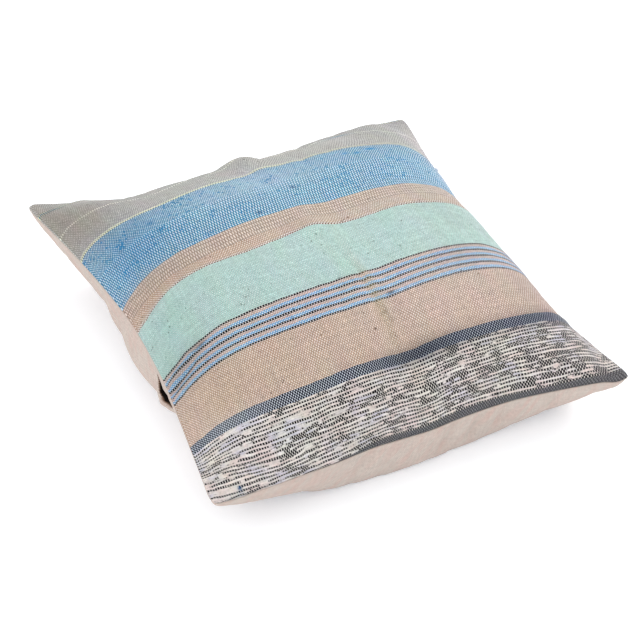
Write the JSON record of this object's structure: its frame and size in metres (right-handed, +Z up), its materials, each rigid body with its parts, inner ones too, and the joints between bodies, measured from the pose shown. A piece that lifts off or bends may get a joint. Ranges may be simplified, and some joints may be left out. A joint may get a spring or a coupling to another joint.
{
  "type": "filled cushion cover",
  "caption": "Square cushion cover, filled and lying on its back: crowned striped woven front, plain cotton back, plain seam, drawn-in sides.",
  "frame": {"origin": "on the surface the cushion lies on, under the middle of its outline", "axes": "+Z up through the crowned front, +X along the stripes, -Y towards the marled band"},
  "size_m": [0.429, 0.431, 0.1378],
  "materials": {
    "striped_cloth": "matt handwoven cotton in bands of grey, blue, tan, mint and slate, with a marled band",
    "plain_cloth": "matt natural cotton, plain weave with small specks"
  },
  "bodies": {
    "root": {"front_panel": "striped_cloth", "back_panel": "plain_cloth"}
  },
  "joints": []
}
